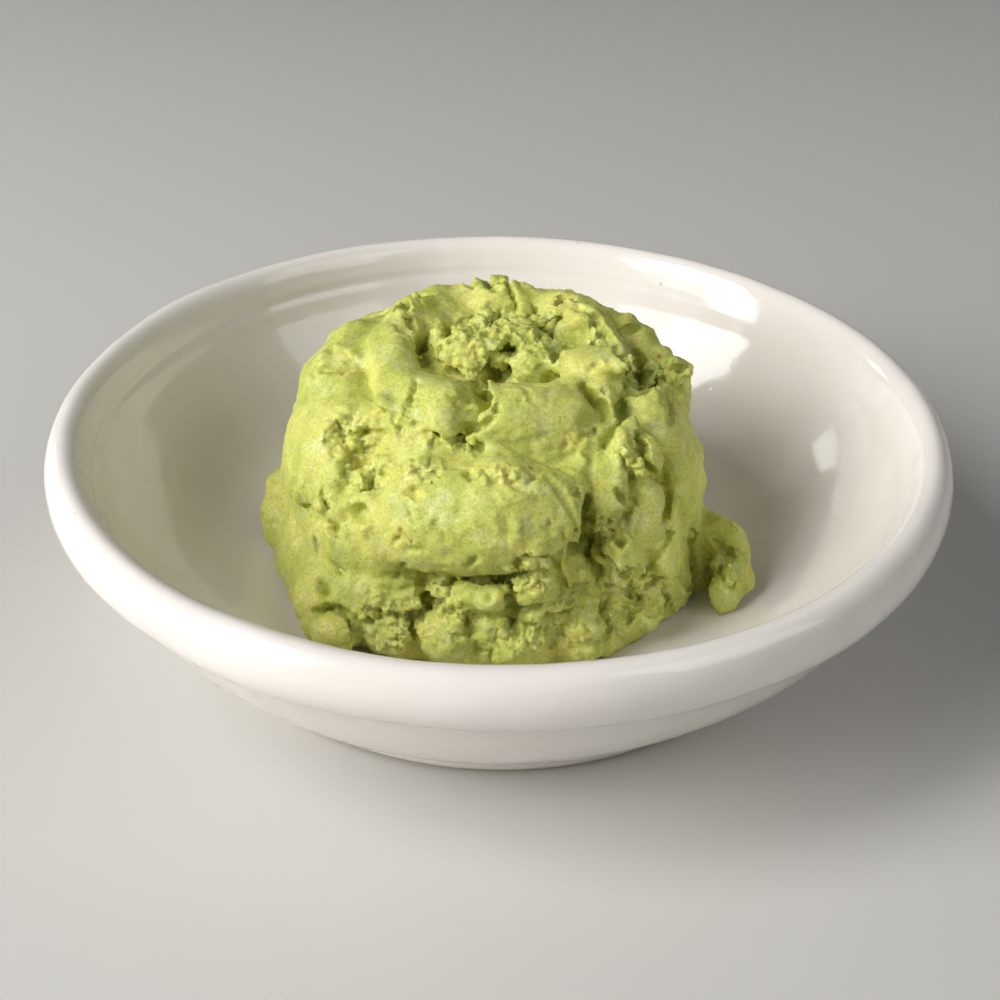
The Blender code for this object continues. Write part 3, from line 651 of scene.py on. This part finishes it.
def draw_marks(draw, most=5):
    """A short wandering route of (across, up) marks, at most so many."""
    heading = draw.uniform(0, math.tau)
    marks = [np.array([draw.uniform(-9, 9), draw.uniform(-1, 22)])]
    for _ in range(draw.integers(1, most)):
        heading += draw.normal(0, 0.5)
        marks.append(marks[-1] + draw.uniform(0.9, 1.8) * np.array([math.cos(heading), math.sin(heading)]))
    return marks


def tear_mound(piece, draw):
    """Cuts cracks and hollows, and returns their places in front and on the other sides.

    Those in front have names. Small nicks among them, and all that the other sides get, are drawn by seed.
    """
    clay = Clay(piece)
    front = [cut_crack(clay, *crack) for crack in CRACKS.values()]
    front += [tear_hollow(clay, *hollow) for hollow in HOLLOWS.values()]
    for around in FRONT_LOOKS:
        for _ in range(NICKS_A_LOOK):
            cut_crack(clay, draw_marks(draw, 2), draw.uniform(*NICK_HALF_WIDTH), draw.uniform(*NICK_DEPTH),
                      NICK_SLANT, around)
    sides = []
    for around in OTHER_SIDES:
        for _ in range(CRACKS_A_SIDE):
            sides.append(cut_crack(clay, draw_marks(draw), draw.uniform(*CRACK_HALF_WIDTH),
                                   draw.uniform(*SIDE_DEPTH), draw.uniform(*SIDE_SLANT), around))
        for _ in range(HOLLOWS_A_SIDE):
            sides.append(tear_hollow(clay, draw_marks(draw)[0], draw.uniform(*HOLLOW_RADIUS),
                                     draw.uniform(*HOLLOW_DEPTH), around))
    clay.finish()
    return [np.vstack([places for places in torn if len(places)]) for torn in (front, sides)]


draw = np.random.default_rng(TEAR_SEED)
front_places, side_places = tear_mound(paste, draw)
torn_places = np.vstack([front_places, side_places])
print("cut", len(CRACKS), "cracks and tore", len(HOLLOWS), "hollows in front, and more on the other sides")

# %% [markdown]
# ### Crumbs
#
# Torn paste sheds crumbs of a third of a millimetre to one and a half, which stick where they fall: in the
# spooned hollow, in the torn ones, between the lumps and round the foot. A particle system would strew
# them all over. Here each patch of rubble has its own place and number. A crumb is a small rough lump
# like the big ones, and the next remesh fuses them all to the skin.

# %% Scatter the crumbs
# middle as (across, up), half width, half height, how many crumbs
RUBBLE = {
    "foot_edge_right": ((8.6, -3.6), 5.0, 1.8, 50),
    "left_deep": ((-10.6, 9.7), 1.6, 1.2, 26),
    "crater": ((-0.6, 22.6), 5.6, 3.4, 240),
    "left_hollow": ((-11.8, 11.9), 2.6, 3.2, 110),
    "left_hollow_top": ((-13.2, 13.8), 1.7, 1.4, 25),
    "lobe_top_left": ((-6.4, 10.6), 2.4, 1.0, 10),
    "lobe_top_right": ((0.6, 10.2), 2.6, 0.9, 8),
    "under_cap": ((-4.2, 12.8), 2.6, 0.5, 16),
    "under_lobe_left": ((-4.4, 0.8), 2.6, 0.8, 24),
    "under_lobe_right": ((2.6, 1.8), 2.6, 1.4, 28),
    "foot_left": ((-9.2, -1.2), 3.0, 1.4, 18),
    "foot_lower_left": ((-9.8, -3.4), 3.8, 1.7, 26),
    "foot_middle": ((-4.6, -2.0), 3.0, 2.2, 30),
    "foot_front": ((1.0, -3.0), 4.0, 1.9, 36),
    "foot_right": ((5.8, -1.6), 2.8, 1.6, 28),
    "foot_far_right": ((12.2, -0.8), 3.6, 1.0, 44),
    "right_middle": ((8.6, 5.6), 1.5, 1.5, 14),
    "right_low": ((11.4, 2.0), 1.8, 1.0, 16),
    "finger": ((11.4, 12.2), 1.2, 2.4, 8),
    "top_right": ((12.4, 19.8), 2.6, 1.6, 26),
    "curl_inside": ((19.6, 2.2), 1.6, 1.8, 60),
}
CRUMB_DETAIL = 3
CRUMB_RADII = (0.20, 0.64)
# least and most of a crumb's three half sizes, as shares of its radius
CRUMB_SHAPE = (0.7, 1.3)
# on the other sides, crumbs lie about this far from a torn place
CRUMBS_ELSEWHERE, CRUMB_SPREAD = 200, 0.8


def scatter_crumbs(piece, draw, side_places):
    """Sticks crumbs on the patches of rubble in front and near the torn places of the other sides."""
    clay = Clay(piece)
    spots = []
    for middle, half_width, half_height, wanted in RUBBLE.values():
        turns, reach = draw.uniform(0, math.tau, wanted), draw.uniform(0, 1, wanted) ** 0.5
        spread = np.stack([half_width * reach * np.cos(turns), half_height * reach * np.sin(turns)], 1)
        spots += zip(*clay.find(spread + middle))
    for place in side_places[draw.integers(0, len(side_places), CRUMBS_ELSEWHERE)]:
        spots.append(clay.tree.find_nearest(place + draw.normal(0, CRUMB_SPREAD, 3))[:2])
    points, faces = ball(CRUMB_DETAIL)
    crumbs = []
    for seed, (place, normal) in enumerate(spots, 40):
        size = CRUMB_RADII[0] + (CRUMB_RADII[1] - CRUMB_RADII[0]) * draw.uniform() ** 2
        half_sizes = size * draw.uniform(*CRUMB_SHAPE, 3)
        crumbs.append(lump(points, np.array(place), normal, half_sizes, draw.uniform(0, 360), seed))
    join_lumps(piece, crumbs, faces)
    return len(spots)


crumb_count = scatter_crumbs(paste, draw, side_places)
remesh(paste, FINE_GRAIN, 0)
print("scattered", crumb_count, "crumbs:", count_triangles(paste), "triangles")

# %% [markdown]
# ### Torn and pressed skin
#
# Torn paste is lumpy at every scale: rounded cells of uneven height with sharp grooves between, which
# Voronoi noise gives as the difference between its two nearest distances. Where the spoon pressed it only a
# soft unevenness is left. A Displace modifier would raise one noise all over, so the points are moved in
# code: the cells are raised in the rubble and beside the cracks, and a smooth noise everywhere.

# %% Roughen the torn skin
# cell size, height where the paste is torn
TORN_CELLS = [(1.5, 0.26), (0.8, 0.28), (0.42, 0.20)]
# how much cells differ in height, how sharp the grooves between them are, and how far their edges wander
CELL_STEP, CELL_SHARPNESS, CELL_WANDER = 1.2, 2.2, 0.35
# what is taken off a cell's rise, so that the skin stays about where it was
CELL_LEVEL = 0.7
# bump size, height everywhere
UNEVEN = [(3.2, 0.20), (1.3, 0.11), (0.5, 0.06)]
# how far beside a crack the skin is rough, how rough it is there and in the rubble, and where it was pressed
CRACK_SIDE = 0.7
CRACK_SHARE, RUBBLE_SHARE, PRESSED_SHARE = 0.75, 0.9, 0.17
# rubble is placed as seen from the front, so it roughens the skin only this far behind the middle
FRONT_END = 8
PITS, PIT_RADII = 60, (0.20, 0.50)


def torn_share(clay, torn_places):
    """How torn the skin is at each point, from PRESSED_SHARE where a spoon pressed it to 1."""
    cracks = KDTree(len(torn_places))
    for index, place in enumerate(torn_places):
        cracks.insert(place, index)
    cracks.balance()
    apart = np.array([cracks.find(p)[2] for p in clay.points])
    smooth = 1 - CRACK_SHARE * np.exp(-((apart / CRACK_SIDE) ** 2))
    _, right, up = facing(0)
    front = np.stack([clay.points @ np.array(right), clay.points @ np.array(up)], 1)
    for middle, half_width, half_height, _ in RUBBLE.values():
        apart = np.hypot(*((front - middle) / (half_width, half_height)).T)
        facing_front = clay.points[:, 1] < FRONT_END
        smooth[facing_front] *= 1 - RUBBLE_SHARE * np.exp(-(apart[facing_front] ** 4))
    return np.clip((1 - smooth) * (0.9 + 0.6 * swell(clay.points, 2.5, 31)), PRESSED_SHARE, 1)


def cells(points, size, seed):
    """Round cells of uneven height, with grooves between them."""
    shift = Vector((seed * 7.1, seed * 3.3, seed * 5.9))
    pushed = points / size + CELL_WANDER * tear(points / size, seed)
    found = [noise.voronoi(Vector(p) + shift) for p in pushed]
    near = np.array([apart[:2] for apart, _ in found])
    taller = np.array([noise.noise(middles[0] * 7.3) for _, middles in found])
    return np.clip(CELL_SHARPNESS * (near[:, 1] - near[:, 0]), 0, 1) ** 0.5 + CELL_STEP * taller


def prick(clay, draw):
    """Small ragged pits, where air and fibres were pulled out."""
    for place in clay.points[draw.integers(0, len(clay.points), PITS)]:
        radius = draw.uniform(*PIT_RADII)
        near = clay.near(place[None], 2 * radius)
        points = clay.points[near]
        apart = np.linalg.norm(points + 0.6 * radius * tear(points, 7) - place, axis=1) / radius
        clay.points[near] -= clay.normals[near] * (1.3 * radius * np.clip(1 - apart, 0, 1) ** 0.6)[:, None]


def roughen(piece, draw, torn_places):
    """Raises the cells and the soft bumps and pricks the pits, and returns how torn the skin is."""
    clay = Clay(piece)
    torn = torn_share(clay, torn_places)
    rise = np.zeros(len(torn))
    for seed, (size, height) in enumerate(TORN_CELLS, 50):
        rise += height * torn * (cells(clay.points, size, seed) - CELL_LEVEL)
    for seed, (size, height) in enumerate(UNEVEN, 60):
        rise += height * swell(clay.points, size, seed)
    clay.points += clay.normals * rise[:, None]
    prick(clay, draw)
    clay.finish()
    return torn


torn = roughen(paste, draw, torn_places)
print("torn share of the skin:", round(float(torn.mean()), 2))

# %% [markdown]
# ### Setting it down
#
# The CAD solid stands a hair over the glaze, because two solids must not touch. The real paste wets it, so
# the lowest skin is let down on to the dish. The lumps and crumbs stand a little above the CAD mound, so
# what is over its top is squeezed. The underside is never seen: its faces are thinned out in edit mode, and
# then the whole skin is thinned to at most PASTE_TRIANGLES triangles. Validating the mesh then removes any
# face that the thinning has doubled.

# %% Set the paste on the glaze
PASTE_TRIANGLES = 190000
# how far the skin is let down, up to what height over the glaze in full, and over what height it fades
LET_DOWN, LET_DOWN_UNDER, LET_DOWN_FADE = 0.4, 0.3, 0.8
# height from which the top is squeezed, and the share of its height that is left
MOUND_TOP, TOP_SHARE = 27.3, 0.35
# a face is the underside if it is this near to the glaze and faces down; the share of them that is left
UNDERSIDE, UNDERSIDE_FACING, UNDERSIDE_SHARE = 0.6, -0.7, 0.02
# the glaze's height is read off within this radius, which holds all of the paste
INSIDE_RADIUS = 30.0


def glaze_height(radius):
    """Height of the CAD dish's inside at a distance from its middle, both in millimetres."""
    corners = points_of(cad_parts["dish"])
    inside = corners[np.hypot(corners[:, 0], corners[:, 1]) < INSIDE_RADIUS]
    top = {}
    for x, y, z in inside:
        ring = round(math.hypot(x, y), 1)
        top[ring] = max(z, top.get(ring, 0.0))
    rings = sorted(top)
    return np.interp(radius, rings, [top[ring] for ring in rings])


def set_down(piece):
    """Lets the lowest skin down on to the glaze, and squeezes what stands over the top."""
    points = points_of(piece)
    over = points[:, 2] - glaze_height(np.hypot(points[:, 0], points[:, 1]))
    points[:, 2] -= LET_DOWN * np.exp(-np.clip(over - LET_DOWN_UNDER, 0, None) / LET_DOWN_FADE)
    points[:, 2] -= (1 - TOP_SHARE) * np.clip(points[:, 2] - MOUND_TOP, 0, None)
    set_points(piece, points)


def thin_underside(piece):
    """Thins out the faces that lie on the glaze."""
    faces = piece.data.polygons
    middles = np.empty(len(faces) * 3, np.float32)
    facings = np.empty(len(faces) * 3, np.float32)
    faces.foreach_get("center", middles)
    faces.foreach_get("normal", facings)
    middles, facings = middles.reshape(-1, 3) / MM, facings.reshape(-1, 3)
    over = middles[:, 2] - glaze_height(np.hypot(middles[:, 0], middles[:, 1]))
    below = (over < UNDERSIDE) & (facings[:, 2] < UNDERSIDE_FACING)
    select_only(piece)
    bpy.ops.object.mode_set(mode="EDIT")
    bpy.ops.mesh.select_mode(type="FACE")
    bpy.ops.mesh.select_all(action="DESELECT")
    bpy.ops.object.mode_set(mode="OBJECT")
    faces.foreach_set("select", below)
    bpy.ops.object.mode_set(mode="EDIT")
    bpy.ops.mesh.decimate(ratio=UNDERSIDE_SHARE)
    bpy.ops.object.mode_set(mode="OBJECT")


set_down(paste)
thin_underside(paste)
print("underside thinned:", count_triangles(paste), "triangles")
apply_modifier(paste, "DECIMATE", ratio=min(1.0, PASTE_TRIANGLES / count_triangles(paste)))
paste.data.validate()
paste.data.shade_smooth()
print("grated_wasabi:", count_triangles(paste), "triangles")

# %% [markdown]
# ### Grated wasabi
#
# The pulp of a green rhizome: pale yellow-green and moist, and light passes a little way in, so that even
# its cracks glow green. The grater leaves a grit of about a seventh of a millimetre among chips of about
# four tenths, which shows as a fine grain. The pulp carries pale shreds of flesh, yellow bits, a few
# rust-brown flecks of skin and dark specks. Colour painted on the points would be coarser than the grain,
# so all of it comes from noise in nodes.

# %% Colour the paste
# grain sizes, and how far the bump lifts the surface
GRIT, CHIP = 0.15, 0.38
GRAIN_HEIGHT = 0.08


def grated_wasabi():
    material = new_material("grated wasabi pulp")
    place = add_node(material, "TexCoord")
    moved = [add_node(material, "Mapping", Vector=(place, "Object"), Location=(shift, -shift, 2 * shift))
             for shift in (0.11, 0.23, 0.37)]

    drift = add_node(material, "TexNoise", Vector=(place, "Object"), Scale=1 / (4.0 * MM), Detail=4.0,
                     Roughness=0.6)
    colour = add_ramp(material, (drift, "Fac"), [(0.30, "#B6BF5B"), (0.45, "#CDD16A"), (0.58, "#DADA74"),
                                                 (0.72, "#E6E181")])
    # pattern, size, where the noise starts and ends to show it, how strongly, colour
    flesh = [(moved[0], 1.8, (0.52, 0.72), 0.50, "#E2EBB0"),
             (moved[1], 1.4, (0.58, 0.72), 0.55, "#E4D75F"),
             (moved[2], 2.6, (0.52, 0.72), 0.45, "#AEBB5C")]
    for vector, size, (start, end), share, hex_colour in flesh:
        patches = add_node(material, "TexNoise", Vector=(vector, "Vector"), Scale=1 / (size * MM), Detail=3.0,
                           Roughness=0.55, Distortion=0.3)
        amount = add_node(material, "MapRange", Value=(patches, "Fac"), From_Min=start, From_Max=end,
                          To_Max=share)
        colour = add_node(material, "MixRGB", Fac=(amount, "Result"), Color1=(colour, "Color"),
                          Color2=linear(hex_colour))
    # pattern, spacing, radius as a share of the spacing, colour
    specks = [(moved[0], 2.6, 0.045, "#6A6A2A"), (moved[2], 5.5, 0.055, "#B56A2E")]
    for vector, spacing, radius, hex_colour in specks:
        dots = add_node(material, "TexVoronoi", Vector=(vector, "Vector"), Scale=1 / (spacing * MM))
        inside = add_node(material, "MapRange", Value=(dots, "Distance"), From_Min=radius,
                          From_Max=radius * 0.5, To_Max=0.8)
        colour = add_node(material, "MixRGB", Fac=(inside, "Result"), Color1=(colour, "Color"),
                          Color2=linear(hex_colour))
    grit, chips = [add_node(material, "TexVoronoi", Vector=(place, "Object"), Scale=1 / (size * MM))
                   for size in (GRIT, CHIP)]
    grain = add_node(material, "SeparateColor", Color=(grit, "Color"))
    chip = add_node(material, "SeparateColor", Color=(chips, "Color"))
    shade = add_ramp(material, (grain, "Red"), [(0.0, "#E0E0D6"), (0.35, "#F3F3EF"), (1.0, "#FFFFFF")])
    colour = add_node(material, "MixRGB", {"blend_type": "MULTIPLY"}, Fac=1.0, Color1=(colour, "Color"),
                      Color2=(shade, "Color"))
    height = add_node(material, "Math", {"operation": "MULTIPLY_ADD"}, _0=(grain, "Green"), _1=0.5,
                      _2=(chip, "Green"))
    bump = add_node(material, "Bump", Height=(height, "Value"), Distance=GRAIN_HEIGHT * MM, Strength=0.9)
    surface = add_node(material, "BsdfPrincipled", Base_Color=(colour, "Color"), Roughness=0.5,
                       IOR=1.4, Subsurface_Weight=0.25, Subsurface_Radius=(0.8, 1.0, 0.35),
                       Subsurface_Scale=0.5 * MM, Normal=(bump, "Normal"))
    return finish_material(material, surface)


paste.data.materials.append(grated_wasabi())
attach(paste, "root")
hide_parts("wasabi_paste")
print("colour on", paste.name)

# %% [markdown]
# ## Floor and light
#
# A plain pale table top, and the light of a tall window on the left, with a lower one beside it that is
# nearer the viewer: that is what leaves the far wall of the dish bright with a soft upright highlight, and
# the near left wall and the paste's right side in shade. A weak pane behind on the left picks out the
# glaze, and a white card on the right and an even grey sky lighten the shade. A Sun lamp would light it
# too, but with crisp shadows and small hard highlights.

# %% Light the table
TABLE_WIDTH = 3.0


def lay_table():
    bpy.ops.object.select_all(action="DESELECT")
    bpy.ops.mesh.primitive_plane_add(size=TABLE_WIDTH, location=(0.0, 0.0, 0.0))
    table = bpy.context.object
    table.name = "table_top"
    material = new_material("pale table top")
    surface = add_node(material, "BsdfPrincipled", Base_Color=linear("#C8C6C1"), Roughness=0.7)
    table.data.materials.append(finish_material(material, surface))


def add_window(name, azimuth, elevation, distance, width, height, power):
    """A lit pane that faces the dish, in metres and watts. Azimuth is in degrees from +Y towards +X."""
    pane = bpy.data.lights.new(name, "AREA")
    pane.shape = "RECTANGLE"
    pane.size = width
    pane.size_y = height
    pane.energy = power
    light = bpy.data.objects.new(name, pane)
    bpy.context.scene.collection.objects.link(light)
    around, up = math.radians(azimuth), math.radians(elevation)
    way = Vector((math.sin(around) * math.cos(up), math.cos(around) * math.cos(up), math.sin(up)))
    light.location = way * distance
    light.rotation_euler = way.to_track_quat("Z", "Y").to_euler()


def fill_with_sky(strength):
    sky = bpy.data.worlds.new("sky")
    sky.use_nodes = True
    background = sky.node_tree.nodes["Background"]
    background.inputs["Color"].default_value = linear("#F2F4F6")
    background.inputs["Strength"].default_value = strength
    bpy.context.scene.world = sky


lay_table()
add_window("tall window", azimuth=-108, elevation=33, distance=0.6, width=0.20, height=0.60, power=3.95)
add_window("side pane", azimuth=-128, elevation=27, distance=0.6, width=0.20, height=0.44, power=1.4)
add_window("back pane", azimuth=-48, elevation=16, distance=0.7, width=0.12, height=0.12, power=0.2)
add_window("white card", azimuth=120, elevation=40, distance=0.8, width=0.50, height=0.50, power=1.8)
fill_with_sky(strength=0.045)
bpy.context.scene.view_settings.view_transform = "Standard"
